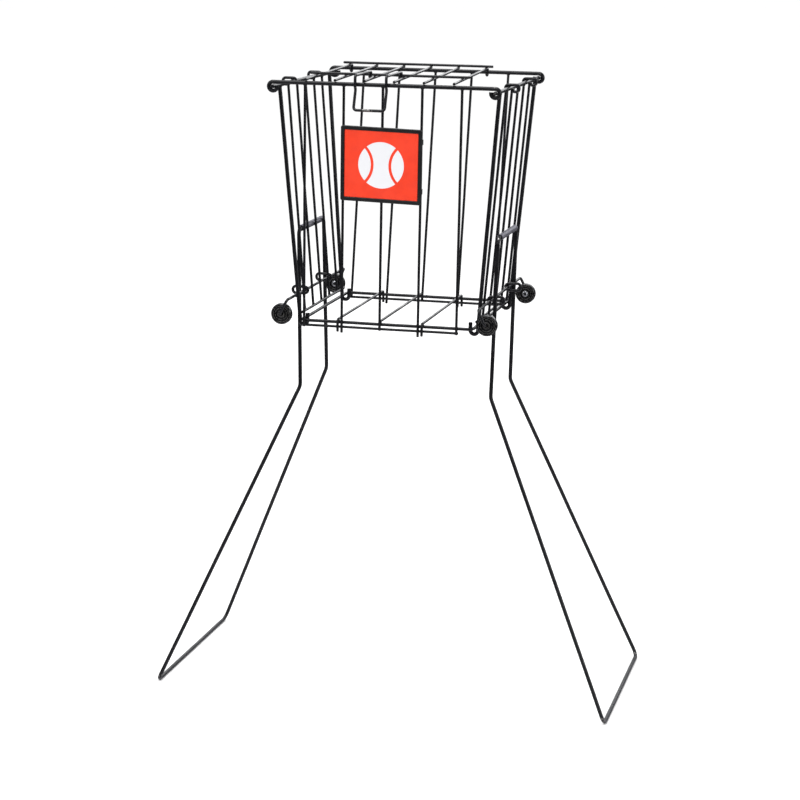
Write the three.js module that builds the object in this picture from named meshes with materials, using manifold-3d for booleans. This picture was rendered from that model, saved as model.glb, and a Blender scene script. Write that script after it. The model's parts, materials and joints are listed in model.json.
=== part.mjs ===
import * as THREE from 'three';
import { mergeVertices } from 'three/addons/utils/BufferGeometryUtils.js';
import Module from 'manifold-3d';

// Tennis ball hopper: a tapered wire basket that stands on two wire legs. The legs swing up on the
// sides of the basket and meet above it as its carrying handle. Millimetres, +Z up. The origin is on
// the floor under the middle of the basket, and the front, which carries the badge, faces -Y.

const wasm = await Module();
wasm.setup();

// Wire diameters
const frameWire = 5.4;
const gridWire = 3.6;
const ringWire = 4.4;
const hookWire = 4;
const carrierWire = 4;
const latchWire = 3.8;

// Clearances: between pieces that rest on each other, and round whatever turns
const seatGap = 0.3;
const turnGap = 0.45;

// How deep one wire sinks into another where the two are welded
const weldDepth = 0.3;

// Basket: rails at the rim, ring at the bottom
const rimWidth = 300;
const rimDepth = 302;
const railHeight = 850;
const ringSpan = 238;
const ringHeight = 527;
const ringCorner = 9;
const railEndOver = 1.6;
const eyeSweepDegrees = 290;

// Front and rear panels
const frontUprightCount = 5;
const frontPitch = 53;
const frontTailLength = 7.5;
const frontFootDrop = 2;
const endFootShift = -8;

// Side panels
const sideUprightCount = 5;
const sidePitch = 41;
const cornerWireReach = 122;
const hookReach = 107;
const hookTipRise = 8;
const hookDrop = 3;
const sideFootRise = 8.5;

// Bottom rods
const rodPitch = 58.5;
const rodTailDrop = 12.5;
const rodBend = 4;

// Badge
const badgeOver = 2.2;
const badgeHeight = 100.4;
const badgeBar = 5;
const badgeFrameDepth = 3.4;
const badgePlateThick = 1.4;
const badgePlateInset = 0.8;
const badgeLedge = 1.6;
const badgeCorner = 2.5;
const badgeOpeningCorner = 1;
const badgeDrop = 105;
const badgeHookHeight = 7;
const badgeHookWall = 1.1;
const badgeHookMouth = 2.6;
const badgeHookLip = 2;
const badgeHookSpread = 66;

// Legs
const pivotHeight = 643;
const pivotReach = 62;
const bendHeight = 424;
const bendSpread = 135.6;
const bendReach = 67;
const footSpread = 319;
const footReach = 151;
const legTopBend = 8;
const legKneeBend = 18;
const footBend = 9;
const legEndGap = 1;

// Pivot sleeves, which are welded to the side panels
const sleeveWall = 1.15;
const sleeveLength = 104;

// Catches for the legs, a little above the ring
const catchRise = 31;
const catchRadius = 4.3;
const catchLoopRadius = 5;
const catchReach = 12.5;
const topHookReach = 13.5;
const topHookDrop = 9;
const topHookMouth = 8;
const topHookTail = 5;
const topHookTip = 4;

// Wheels and the wires that carry them
const wheelRadius = 14.3;
const wheelWidth = 9;
const wheelStandOff = 17;
const wheelRise = 10;
const wheelOverRing = 16;
const grooveDepth = 1.4;
const rimRound = 1.2;
const hubRadius = 5;
const axleBend = 6;
const axleOver = 1.6;
const nutRadius = 4;
const nutThick = 0.8;
const nutDome = 0.5;

// Lid and latch
const lidRodCount = 6;
const lidPitch = 40;
const lidOffset = -25;
const lidSkew = 20.5;
const lidOver = 3.5;
const lidRodShort = 6;
const lidBarOver = 10;
const lidRearBarInset = 9;
const lidFrontBar = 71;
const lidEyeSweepDegrees = 255;
const latchOffset = -5.5;
const latchWidth = 42;
const latchEyeSweepDegrees = 250;
const latchStandoff = 2.3;
const latchKinkIn = 2.6;
const latchKinkDrop = 18;
const latchFlare = 10.5;
const latchDrop = 44.5;
const latchBend = 4.5;

// Facets: sides of a wire's section, and the largest step round a bend
const frameSides = 10;
const gridSides = 8;
const wheelSides = 24;
const boreSides = 16;
const bendStepDegrees = 30;
const curlStepDegrees = 30;
const plateCornerSteps = 4;
const cutOverrun = 1;

const frameR = frameWire / 2;
const gridR = gridWire / 2;
const ringR = ringWire / 2;
const hookR = hookWire / 2;
const carrierR = carrierWire / 2;
const latchR = latchWire / 2;
const ringHalf = ringSpan / 2;
const rimHalf = rimWidth / 2;
const depthHalf = rimDepth / 2;
const catchHeight = ringHeight + catchRise;
const wheelHeight = ringHeight + wheelRise;
const wheelReach = ringHalf + wheelOverRing;

// The corner eyes of the front and rear rails wrap the side rails, which so lie a little lower.
const cornerEyeRadius = frameR + turnGap + frameR;
const sideRailHeight = railHeight - cornerEyeRadius;
const railEnd = depthHalf + frameR + railEndOver;

// The J-hooks at the feet of the corner wires wrap the ring.
const hookRadius = frameR + seatGap + ringR;
const sideFoot = ringHalf + hookRadius;
const frontFoot = ringHalf + ringR + seatGap + gridR;

const mats = {
  frame: new THREE.MeshStandardMaterial({ color: 0x17171a, roughness: 0.32, metalness: 0.1 }),
  grid: new THREE.MeshStandardMaterial({ color: 0x19191c, roughness: 0.35, metalness: 0.1 }),
  sleeve: new THREE.MeshStandardMaterial({ color: 0xb3b2b8, roughness: 0.45, metalness: 0.8 }),
  wheel: new THREE.MeshStandardMaterial({ color: 0x1b1b1d, roughness: 0.55, metalness: 0 }),
  nut: new THREE.MeshStandardMaterial({ color: 0xc4c6c8, roughness: 0.3, metalness: 0.9 }),
  badgeFrame: new THREE.MeshStandardMaterial({ color: 0x151719, roughness: 0.4, metalness: 0 }),
  badgePlate: new THREE.MeshStandardMaterial({ color: 0xff4b32, roughness: 0.45, metalness: 0 }),
};

const model = new THREE.Group();

const at = (x, y, z) => new THREE.Vector3(x, y, z);
const radians = THREE.MathUtils.degToRad;

// Where a side panel's plane stands at a height, and a front or rear panel's plane
const sideAt = (z) => THREE.MathUtils.mapLinear(z, ringHeight, sideRailHeight, sideFoot, rimHalf);
const frontAt = (z) => THREE.MathUtils.mapLinear(z, ringHeight, railHeight, frontFoot, depthHalf);
const sideLean = Math.atan2(rimHalf - sideFoot, sideRailHeight - ringHeight);
const frontLean = Math.atan2(depthHalf - frontFoot, railHeight - ringHeight);

// The feet of the front and rear panels sit a little to the left, and so do the bottom rods.
const endShiftAt = (z) => THREE.MathUtils.mapLinear(z, railHeight, ringHeight, 0, endFootShift);
const endLean = Math.atan2(-endFootShift * Math.cos(frontLean), railHeight - ringHeight);

// A closed three.js geometry becomes a solid that can be joined and cut.
function solid(geometry) {
  const bare = geometry.clone();
  bare.deleteAttribute('normal');
  bare.deleteAttribute('uv');
  const welded = mergeVertices(bare);
  return new wasm.Manifold(new wasm.Mesh({
    numProp: 3,
    vertProperties: new Float32Array(welded.attributes.position.array),
    triVerts: new Uint32Array(welded.index.array),
  }));
}

// A solid turns back into a geometry.
function geometryOf(body) {
  const { numProp, vertProperties, triVerts } = body.getMesh();
  const geometry = new THREE.BufferGeometry();
  geometry.setAttribute('position', new THREE.BufferAttribute(new Float32Array(vertProperties), numProp));
  geometry.setIndex(new THREE.BufferAttribute(new Uint32Array(triVerts), 1));
  return geometry;
}

function piece(name, body, material) {
  const mesh = new THREE.Mesh(geometryOf(body), material);
  mesh.name = name;
  model.add(mesh);
  return mesh;
}

const joined = (bodies) => bodies.reduce((sum, next) => sum.add(next));

// A route through set stations, so that a swept section stands exactly on each of them
class WireRoute extends THREE.Curve {
  constructor(stations) {
    super();
    this.stations = stations;
    this.last = stations.length - 1;
  }

  getPointAt(share) {
    return this.stations[Math.round(share * this.last)].clone();
  }

  getTangentAt(share) {
    const here = Math.round(share * this.last);
    const tangent = at(0, 0, 0);
    if (here > 0) tangent.add(this.chord(here - 1));
    if (here < this.last) tangent.add(this.chord(here));
    return tangent.normalize();
  }

  chord(first) {
    return this.stations[first + 1].clone().sub(this.stations[first]).normalize();
  }
}

// A round wire along a route. The facet that faces a wanted way at one station can be chosen.
function wire(stations, diameter, sides, facing = at(0, 0, -1), station = 0) {
  const route = new WireRoute(stations);
  const frames = route.computeFrenetFrames(route.last, false);
  const flat = Math.atan2(facing.dot(frames.binormals[station]), facing.dot(frames.normals[station]));
  const section = new THREE.Shape();
  section.setFromPoints(Array.from({ length: sides }, (_, side) => {
    const angle = flat + ((side + 0.5) / sides) * 2 * Math.PI;
    return new THREE.Vector2(Math.cos(angle), Math.sin(angle)).multiplyScalar(diameter / 2);
  }));
  return solid(new THREE.ExtrudeGeometry(section, {
    steps: route.last,
    extrudePath: route,
    bevelEnabled: false,
  }));
}

// Stations of a bent wire: its corners, each with the radius of its bend
const corner = (point, radius = 0) => ({ point, radius });

function bent(corners) {
  return corners.flatMap(({ point, radius }, index) => {
    if (radius === 0) return [point];
    const back = corners[index - 1].point.clone().sub(point).normalize();
    const ahead = corners[index + 1].point.clone().sub(point).normalize();
    const turn = Math.PI - back.angleTo(ahead);
    const first = point.clone().addScaledVector(back, radius * Math.tan(turn / 2));
    const axis = back.clone().cross(ahead).normalize();
    const centre = first.clone().addScaledVector(axis.clone().cross(back), radius);
    const steps = Math.ceil(turn / radians(bendStepDegrees));
    return Array.from({ length: steps + 1 }, (_, step) => first.clone().sub(centre)
      .applyAxisAngle(axis, (-turn * step) / steps).add(centre));
  });
}

// Stations of a curl that starts at a point and turns round a centre
function curl(start, centre, axis, degrees) {
  const steps = Math.ceil(Math.abs(degrees) / curlStepDegrees);
  return Array.from({ length: steps + 1 }, (_, step) => start.clone().sub(centre)
    .applyAxisAngle(axis, (radians(degrees) * step) / steps).add(centre));
}

const across = at(1, 0, 0);
const along = at(0, 1, 0);

// A front or rear rail: straight across the rim, with an eye curled round each side rail.
// face is -1 at the front and 1 at the rear.
function rimRail(face) {
  const y = face * depthHalf;
  const rightEye = curl(at(rimHalf, y, railHeight), at(rimHalf, y, sideRailHeight), along, eyeSweepDegrees);
  const leftEye = rightEye.map((point) => at(-point.x, point.y, point.z)).reverse();
  return wire([...leftEye, ...rightEye], frameWire, frameSides);
}

// A front or rear panel: the rim rail, upright wires in front of the ring and a foot rail below it
function endPanel(face) {
  const footHeight = ringHeight - ringR - seatGap - gridR - frontFootDrop;
  const footDepth = frontAt(footHeight) - gridWire + weldDepth;
  const half = (frontUprightCount - 1) / 2;
  const bodies = [rimRail(face)];
  for (let index = -half; index <= half; index += 1) {
    const x = index * frontPitch;
    const tail = Math.abs(index) % 2 === 1 ? frontTailLength : gridR;
    const end = footHeight - tail;
    bodies.push(wire([
      at(x, face * frontAt(railHeight), railHeight),
      at(x + endShiftAt(end), face * frontAt(end), end),
    ], gridWire, gridSides));
  }
  const footHalf = half * frontPitch + gridR;
  bodies.push(wire([
    at(endFootShift - footHalf, face * footDepth, footHeight),
    at(endFootShift + footHalf, face * footDepth, footHeight),
  ], gridWire, gridSides));
  return joined(bodies);
}

// A corner wire of a side panel, with the J-hook that holds the ring
function cornerWire(side, face) {
  const y = face * hookReach;
  const bottom = ringHeight - hookDrop;
  const foot = at(side * sideFoot, y, ringHeight);
  const hook = curl(at(side * sideFoot, y, bottom), at(side * ringHalf, y, bottom), along, side * 180);
  const tip = at(side * (ringHalf - hookRadius), y, ringHeight + hookTipRise);
  return wire([at(side * rimHalf, face * cornerWireReach, sideRailHeight), foot, ...hook, tip],
    frameWire, frameSides);
}

// A side panel: a top rail through the corner eyes, upright wires and a foot rail inside them.
// side is -1 at the left and 1 at the right.
function sidePanel(side) {
  const half = (sideUprightCount - 1) / 2;
  const footHeight = ringHeight + sideFootRise;
  const footInside = side * (sideAt(footHeight) - gridWire + weldDepth);
  const bodies = [wire([
    at(side * rimHalf, -railEnd, sideRailHeight),
    at(side * rimHalf, railEnd, sideRailHeight),
  ], frameWire, frameSides)];
  for (let index = -half; index <= half; index += 1) {
    bodies.push(wire([
      at(side * rimHalf, index * sidePitch, sideRailHeight),
      at(side * sideAt(footHeight - gridR), index * sidePitch, footHeight - gridR),
    ], gridWire, gridSides));
  }
  bodies.push(cornerWire(side, -1), cornerWire(side, 1));
  bodies.push(wire([at(footInside, -hookReach, footHeight), at(footInside, hookReach, footHeight)],
    gridWire, gridSides));
  return joined(bodies);
}

// The ring under the basket. Its wire ends meet at the middle of the rear.
function bottomRing() {
  const turn = (x, y) => corner(at(x * ringHalf, y * ringHalf, ringHeight), ringCorner);
  return wire(bent([
    corner(at(-seatGap / 2, ringHalf, ringHeight)),
    turn(-1, 1), turn(-1, -1), turn(1, -1), turn(1, 1),
    corner(at(seatGap / 2, ringHalf, ringHeight)),
  ]), ringWire, gridSides);
}

// A bottom rod lies on the ring. The outer two drop their ends in front of it and behind it.
function bottomRod(index) {
  const x = endFootShift + index * rodPitch;
  const z = ringHeight + ringR + seatGap + gridR;
  if (index === 0) {
    return wire([at(x, -ringHalf, z), at(x, ringHalf, z)], gridWire, gridSides);
  }
  const drop = frontAt(ringHeight) + weldDepth + seatGap;
  const tail = ringHeight - rodTailDrop;
  return wire(bent([
    corner(at(x, -drop, tail)),
    corner(at(x, -drop, z), rodBend),
    corner(at(x, drop, z), rodBend),
    corner(at(x, drop, tail)),
  ]), gridWire, gridSides);
}

// A rounded rectangle in the XY plane
function roundedOutline(width, height, radius) {
  const [right, top] = [width / 2 - radius, height / 2 - radius];
  const outline = new THREE.Shape();
  outline.absarc(right, top, radius, 0, Math.PI / 2);
  outline.absarc(-right, top, radius, Math.PI / 2, Math.PI);
  outline.absarc(-right, -top, radius, Math.PI, 1.5 * Math.PI);
  outline.absarc(right, -top, radius, 1.5 * Math.PI, 2 * Math.PI);
  return outline;
}

// A flat plate with rounded corners that starts at a depth and grows along +Z
function roundedPlate(width, height, radius, depth, thickness) {
  const plate = new THREE.ExtrudeGeometry(roundedOutline(width, height, radius), {
    depth: thickness,
    bevelEnabled: false,
    curveSegments: plateCornerSteps,
  });
  return solid(plate.translate(0, 0, depth));
}

// The badge is made lying in the XY plane, its back at Z = 0, and then stood up against the panel, in
// line with the two upright wires that it clips on. It reaches a little past them.
const badgeWidth = 2 * (frontPitch + badgeOver);
const badgeStand = new THREE.Group();
const badgeHeightAt = railHeight - badgeDrop;
badgeStand.position.set(endShiftAt(badgeHeightAt),
  -frontAt(badgeHeightAt) - (gridR + seatGap) / Math.cos(frontLean), badgeHeightAt);
badgeStand.rotation.set(Math.PI / 2 + frontLean, 0, -endLean);
model.add(badgeStand);

// A snap hook behind the badge frame: it holds an upright wire from inside and opens outwards.
function badgeHook(side, y) {
  const bore = gridR + seatGap;
  const depth = 2 * bore + badgeHookWall;
  const over = badgeHookHeight + 2 * cutOverrun;
  const inside = bore + badgeHookWall;
  const placed = (geometry) => solid(geometry.translate(side * frontPitch, y, 0));
  const block = placed(new THREE.BoxGeometry(inside + badgeHookLip, badgeHookHeight, depth + weldDepth)
    .translate((side * (badgeHookLip - inside)) / 2, 0, (weldDepth - depth) / 2));
  const channel = placed(new THREE.CylinderGeometry(bore, bore, over, boreSides)
    .translate(0, 0, -bore));
  const mouth = placed(new THREE.BoxGeometry(badgeHookLip + cutOverrun, over, badgeHookMouth)
    .translate((side * (badgeHookLip + cutOverrun)) / 2, 0, -bore));
  return block.subtract(channel).subtract(mouth);
}

function badgeFrame() {
  const clear = 2 * cutOverrun + badgeFrameDepth;
  const ledgeWidth = badgeWidth - 2 * (badgeBar + badgeLedge);
  const ledgeHeight = badgeHeight - 2 * (badgeBar + badgeLedge);
  const rim = roundedPlate(badgeWidth, badgeHeight, badgeCorner, 0, badgeFrameDepth);
  const window = roundedPlate(badgeWidth - 2 * badgeBar, badgeHeight - 2 * badgeBar,
    badgeOpeningCorner, badgeFrameDepth - badgePlateInset - badgePlateThick - seatGap, clear);
  const back = roundedPlate(ledgeWidth, ledgeHeight, badgeOpeningCorner, -cutOverrun, clear);
  const hooks = [-1, 1].flatMap((side) => [-1, 1]
    .map((end) => badgeHook(side, (end * badgeHookSpread) / 2)));
  return joined([rim.subtract(window).subtract(back), ...hooks]);
}

function badgePlate() {
  return roundedPlate(badgeWidth - 2 * (badgeBar + seatGap), badgeHeight - 2 * (badgeBar + seatGap),
    badgeOpeningCorner, badgeFrameDepth - badgePlateInset - badgePlateThick, badgePlateThick);
}

// Where the legs turn: the sleeve lies against the upright wires of the side panel.
const sleeveInner = frameR + turnGap;
const sleeveOuter = sleeveInner + sleeveWall;
const pivotSpread = sideAt(pivotHeight) + (gridR + seatGap + sleeveOuter) / Math.cos(sideLean);

// A tube along Y from a closed profile
function ringBody(inner, outer, length, sides) {
  const profile = [[inner, -1], [outer, -1], [outer, 1], [inner, 1], [inner, -1]];
  const points = profile.map(([radius, end]) => new THREE.Vector2(radius, (end * length) / 2));
  return new THREE.LatheGeometry(points, sides);
}

function pivotSleeve(side) {
  return solid(ringBody(sleeveInner, sleeveOuter, sleeveLength, boreSides)
    .translate(side * pivotSpread, 0, pivotHeight));
}

// A leg: one wire, whose two ends meet inside the sleeve. A facet of the foot bar lies on the floor.
function leg(side) {
  const footZ = frameR * Math.cos(Math.PI / frameSides);
  const top = (face) => corner(at(side * pivotSpread, face * pivotReach, pivotHeight), legTopBend);
  const knee = (face) => corner(at(side * bendSpread, face * bendReach, bendHeight), legKneeBend);
  const foot = (face) => corner(at(side * footSpread, face * footReach, footZ), footBend);
  const stations = bent([
    corner(at(side * pivotSpread, -legEndGap / 2, pivotHeight)),
    top(-1), knee(-1), foot(-1), foot(1), knee(1), top(1),
    corner(at(side * pivotSpread, legEndGap / 2, pivotHeight)),
  ]);
  const floorStation = stations.findIndex((point) => point.z < footZ + seatGap && point.y > 0);
  return wire(stations, frameWire, frameSides, at(0, 0, -1), floorStation);
}

// How far a leg's wires stand from the middle at a height, which sets the catches beside them
const legReachAt = (z) => THREE.MathUtils.mapLinear(z, bendHeight, pivotHeight, bendReach, pivotReach);

// The wire that carries a side's wheels lies along the side panel, and the wheels stand off from it.
const carrierSpread = sideAt(catchHeight) + (frameR + seatGap + carrierR) / Math.cos(sideLean);
const wheelSpread = sideAt(wheelHeight) + wheelStandOff;

// A catch for a standing leg: a long loop round the carrier wire, beside the leg's wire
function legCatch(side, face) {
  const y = face * (legReachAt(catchHeight) - frameR - seatGap - hookR);
  const start = at(side * carrierSpread, y, catchHeight - catchRadius);
  const inner = curl(start, at(side * carrierSpread, y, catchHeight), along, side * 180);
  const outer = curl(at(side * (carrierSpread + catchReach), y, catchHeight + catchLoopRadius),
    at(side * (carrierSpread + catchReach), y, catchHeight), along, side * 180);
  const end = at(side * (carrierSpread + seatGap), y, catchHeight - catchRadius);
  return wire([...inner, ...outer, end], hookWire, gridSides);
}

// A hook for a raised leg: over the side rail, outwards, and curled back in under itself
function topHook(side, face) {
  const y = face * (legReachAt(2 * pivotHeight - sideRailHeight) - frameR - seatGap - hookR);
  const z = sideRailHeight + frameR + seatGap + hookR;
  const x = (reach) => side * (rimHalf + reach);
  const inner = -(frameR + seatGap + hookR);
  return wire(bent([
    corner(at(x(inner), y, z - topHookTail)),
    corner(at(x(inner), y, z), hookWire),
    corner(at(x(topHookReach), y, z), hookWire),
    corner(at(x(topHookReach), y, z - topHookDrop), hookWire),
    corner(at(x(topHookReach - topHookMouth), y, z - topHookDrop), hookR),
    corner(at(x(topHookReach - topHookMouth), y, z - topHookDrop + topHookTip)),
  ]), hookWire, gridSides);
}

// The wheel carrier: one wire along the side, bent out and back at both ends to form the axles
function wheelCarrier(side) {
  const armY = wheelReach + wheelWidth / 2 + seatGap + axleBend;
  const axleEnd = wheelReach - wheelWidth / 2 - 2 * seatGap - nutThick - axleOver;
  const half = (face) => [
    corner(at(side * wheelSpread, face * axleEnd, wheelHeight)),
    corner(at(side * wheelSpread, face * armY, wheelHeight), axleBend),
    corner(at(side * carrierSpread, face * armY, catchHeight), axleBend),
  ];
  return wire(bent([...half(-1), ...half(1).reverse()]), carrierWire, gridSides);
}

// A wheel: a moulded disc with ring grooves on both faces and a raised hub
function wheel(side, face) {
  const bore = carrierR + turnGap;
  const rim = wheelWidth / 2;
  const tread = wheelRadius - rimRound;
  const grooveOuter = tread - rimRound;
  const grooveInner = (grooveOuter + hubRadius) / 2;
  const floor = rim - grooveDepth;
  const half = [
    [bore, rim], [hubRadius, rim], [hubRadius, floor], [grooveInner, floor],
    [grooveInner, rim], [grooveInner + rimRound, rim], [grooveInner + rimRound, floor],
    [grooveOuter, floor], [grooveOuter, rim], [tread, rim], [wheelRadius, rim - rimRound],
  ];
  const inner = half.map(([radius, width]) => new THREE.Vector2(radius, -width));
  const outer = half.map(([radius, width]) => new THREE.Vector2(radius, width)).reverse();
  const points = [...inner, ...outer, inner[0].clone()];
  return solid(new THREE.LatheGeometry(points, wheelSides)
    .translate(side * wheelSpread, face * wheelReach, wheelHeight));
}

// A push nut on the end of an axle: a thin cap with a bore and a low dome
function pushNut(side, face) {
  const bore = carrierR + seatGap;
  const y = wheelReach - wheelWidth / 2 - seatGap - nutThick;
  const lip = bore + nutDome;
  const points = [[bore, -nutDome], [lip, -nutDome], [nutRadius, 0], [nutRadius, nutThick],
    [bore, nutThick], [bore, -nutDome]].map(([r, h]) => new THREE.Vector2(r, h));
  const nut = new THREE.LatheGeometry(points, boreSides);
  if (face < 0) nut.rotateX(Math.PI);
  return solid(nut.translate(side * wheelSpread, face * y, wheelHeight));
}

// The lid lies on the front and rear rails and turns on the rear one. Its rods run a little askew.
const lidRodHeight = railHeight + frameR + turnGap + gridR;
const lidBarHeight = lidRodHeight + gridWire - weldDepth;
const lidBarDepth = lidFrontBar - depthHalf;
const lidHalf = ((lidRodCount - 1) * lidPitch) / 2;
const lidMiddleAt = (y) => THREE.MathUtils.mapLinear(y, depthHalf, -depthHalf - lidOver,
  lidOffset, lidOffset + lidSkew);

function lidGrid() {
  const front = -depthHalf - lidOver;
  const bodies = [];
  for (let index = 0; index < lidRodCount; index += 1) {
    const x = lidOffset - lidHalf + index * lidPitch;
    const turning = index === 0 || index === lidRodCount - 1;
    const hinge = at(x, depthHalf, railHeight);
    const rear = turning
      ? curl(at(x, depthHalf, lidRodHeight), hinge, across, -lidEyeSweepDegrees)
      : [at(x, depthHalf - lidRodShort, lidRodHeight)];
    bodies.push(wire([at(x + lidSkew, front, lidRodHeight), ...rear], gridWire, gridSides));
  }
  for (const y of [depthHalf - lidRearBarInset, lidBarDepth]) {
    const middle = lidMiddleAt(y);
    bodies.push(wire([
      at(middle - lidHalf - lidBarOver, y, lidBarHeight),
      at(middle + lidHalf + lidBarOver, y, lidBarHeight),
    ], gridWire, gridSides));
  }
  return joined(bodies);
}

// The latch: a wire loop that turns on the lid's front bar and snaps over the front rail
function latchLoop() {
  const radius = gridR + turnGap + latchR;
  const hangDepth = -depthHalf - frameR - latchR - latchStandoff;
  const middle = lidMiddleAt(lidBarDepth) + latchOffset;
  const top = lidBarHeight + radius;
  const arm = (x) => {
    const pivot = at(x, lidBarDepth, lidBarHeight);
    const eye = curl(at(x, lidBarDepth, top), pivot, across, -latchEyeSweepDegrees).reverse();
    return [
      ...eye.slice(0, -1).map((point) => corner(point)),
      corner(at(x, hangDepth, top), latchBend),
      corner(at(x, hangDepth, railHeight - frameR), latchBend),
      corner(at(x, hangDepth + latchKinkIn, top - latchKinkDrop), latchBend),
      corner(at(x, hangDepth - latchFlare + latchKinkIn, top - latchDrop), latchBend),
    ];
  };
  const left = arm(middle - latchWidth / 2);
  const right = arm(middle + latchWidth / 2);
  return wire(bent([...left, ...right.reverse()]), latchWire, gridSides);
}

piece('front_panel', endPanel(-1), mats.frame);
piece('rear_panel', endPanel(1), mats.frame);
piece('bottom_ring', bottomRing(), mats.frame);
piece('bottom_rod_left', bottomRod(-1), mats.grid);
piece('bottom_rod_middle', bottomRod(0), mats.grid);
piece('bottom_rod_right', bottomRod(1), mats.grid);
badgeStand.add(piece('badge_frame', badgeFrame(), mats.badgeFrame));
badgeStand.add(piece('badge_plate', badgePlate(), mats.badgePlate));
piece('lid_grid', lidGrid(), mats.grid);
piece('latch_loop', latchLoop(), mats.grid);

for (const [sideName, side] of [['left', -1], ['right', 1]]) {
  piece(`${sideName}_side_panel`, sidePanel(side), mats.frame);
  piece(`${sideName}_pivot_sleeve`, pivotSleeve(side), mats.sleeve);
  piece(`${sideName}_wheel_carrier`, wheelCarrier(side), mats.grid);
  piece(`${sideName}_leg`, leg(side), mats.frame);
  for (const [faceName, face] of [['front', -1], ['rear', 1]]) {
    piece(`${sideName}_leg_catch_${faceName}`, legCatch(side, face), mats.grid);
    piece(`${sideName}_top_hook_${faceName}`, topHook(side, face), mats.grid);
    piece(`${sideName}_wheel_${faceName}`, wheel(side, face), mats.wheel);
    piece(`${sideName}_push_nut_${faceName}`, pushNut(side, face), mats.nut);
  }
}

export default model;
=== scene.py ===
import json
import math

import bmesh
import bpy
from mathutils import Matrix, Vector, noise


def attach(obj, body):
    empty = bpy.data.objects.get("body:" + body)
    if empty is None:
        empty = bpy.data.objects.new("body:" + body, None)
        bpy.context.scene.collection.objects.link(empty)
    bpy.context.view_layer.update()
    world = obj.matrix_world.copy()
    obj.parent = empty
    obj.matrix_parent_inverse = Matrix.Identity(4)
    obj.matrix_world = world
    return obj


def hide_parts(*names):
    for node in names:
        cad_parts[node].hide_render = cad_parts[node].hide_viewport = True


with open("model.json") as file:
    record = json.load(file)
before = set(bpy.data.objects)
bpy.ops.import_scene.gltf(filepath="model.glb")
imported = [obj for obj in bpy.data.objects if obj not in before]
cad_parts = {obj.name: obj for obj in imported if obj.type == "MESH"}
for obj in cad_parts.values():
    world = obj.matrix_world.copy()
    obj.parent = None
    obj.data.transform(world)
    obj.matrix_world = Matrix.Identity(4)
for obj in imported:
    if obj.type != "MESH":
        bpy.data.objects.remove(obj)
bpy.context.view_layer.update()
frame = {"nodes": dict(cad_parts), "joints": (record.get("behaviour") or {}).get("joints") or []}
print("frame loaded,", len(frame["nodes"]), "nodes")

mm = 0.001  # sizes below are in millimetres; meshes are made in metres
halfTurn = 180  # degrees
across, along, upward = Vector((1, 0, 0)), Vector((0, 1, 0)), Vector((0, 0, 1))
hinge = {joint["name"]: Vector(joint["pos_m"]) / mm for joint in frame["joints"]}  # where each turns
legPivot, axle = hinge["leg_right_swing"], hinge["wheel_right_rear_spin"]
lidPivot, latchPivot = hinge["lid_hinge"], hinge["latch_hinge"]


# Camera: where the photograph was taken from

shot = {
    "azimuth": 13.9,  # degrees to the right of the front
    "elevation": 12.2,
    "roll": 0.8,
    "distance": 3212.7,
    "focalPixels": 2278.2,
    "imagePixels": 800,
    "sensor": 36,
    "aimRight": -8.4,
    "aimHeight": 398.4,
    "clip": (0.05, 200),  # metres
}


def addCamera():
    azimuth, elevation, roll = (math.radians(shot[key]) for key in ("azimuth", "elevation", "roll"))
    forward = Vector((-math.sin(azimuth) * math.cos(elevation),
                      math.cos(azimuth) * math.cos(elevation), -math.sin(elevation)))
    right = Vector((math.cos(azimuth), math.sin(azimuth), 0))
    up = right.cross(forward)
    aim = upward * shot["aimHeight"] + right * shot["aimRight"]
    rolledRight = right * math.cos(roll) + up * math.sin(roll)
    rolledUp = up * math.cos(roll) - right * math.sin(roll)
    place = (aim - forward * shot["distance"]) * mm
    data = bpy.data.cameras.new("shotCamera")
    data.sensor_width = shot["sensor"]
    data.lens = shot["focalPixels"] / shot["imagePixels"] * shot["sensor"]
    data.clip_start, data.clip_end = shot["clip"]
    camera = bpy.data.objects.new("shotCamera", data)
    turn = Matrix((rolledRight, rolledUp, -forward)).transposed()
    camera.matrix_world = Matrix.Translation(place) @ turn.to_4x4()
    bpy.context.scene.collection.objects.link(camera)
    bpy.context.scene.camera = camera


addCamera()
print("camera set")


# Shader nodes

def feed(tree, socket, value):  # a value is either another node's output or a constant
    if isinstance(value, bpy.types.NodeSocket):
        tree.links.new(value, socket)
    else:
        socket.default_value = value


def addNode(tree, kind, settings=None, **inputs):
    node = tree.nodes.new(kind)
    for key, value in (settings or {}).items():
        setattr(node, key, value)
    for key, value in inputs.items():
        numbered = key.startswith("in") and key[2:].isdigit()
        feed(tree, node.inputs[int(key[2:]) if numbered else key.replace("_", " ")], value)
    return node


def plug(tree, node, **sources):
    for key, source in sources.items():
        tree.links.new(source, node.inputs[key.replace("_", " ")])


def mathNode(tree, operation, a, b=0.0, clamp=False):
    settings = {"operation": operation, "use_clamp": clamp}
    return addNode(tree, "ShaderNodeMath", settings, in0=a, in1=b).outputs[0]


def times(tree, a, b):
    return mathNode(tree, "MULTIPLY", a, b)


def plus(tree, a, b, clamp=False):
    return mathNode(tree, "ADD", a, b, clamp)


def mapNode(tree, value, low, high, toLow=0.0, toHigh=1.0, kind="SMOOTHSTEP"):
    return addNode(tree, "ShaderNodeMapRange", {"interpolation_type": kind}, Value=value, From_Min=low,
                   From_Max=high, To_Min=toLow, To_Max=toHigh).outputs["Result"]


def spread(tree, value, span):  # a mask drawn out between two numbers
    return mapNode(tree, value, 0.0, 1.0, span[0], span[1], "LINEAR")


def mixColor(tree, factor, a, b):
    return addNode(tree, "ShaderNodeMix", {"data_type": "RGBA"}, in0=factor, in6=a, in7=b).outputs[2]


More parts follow.
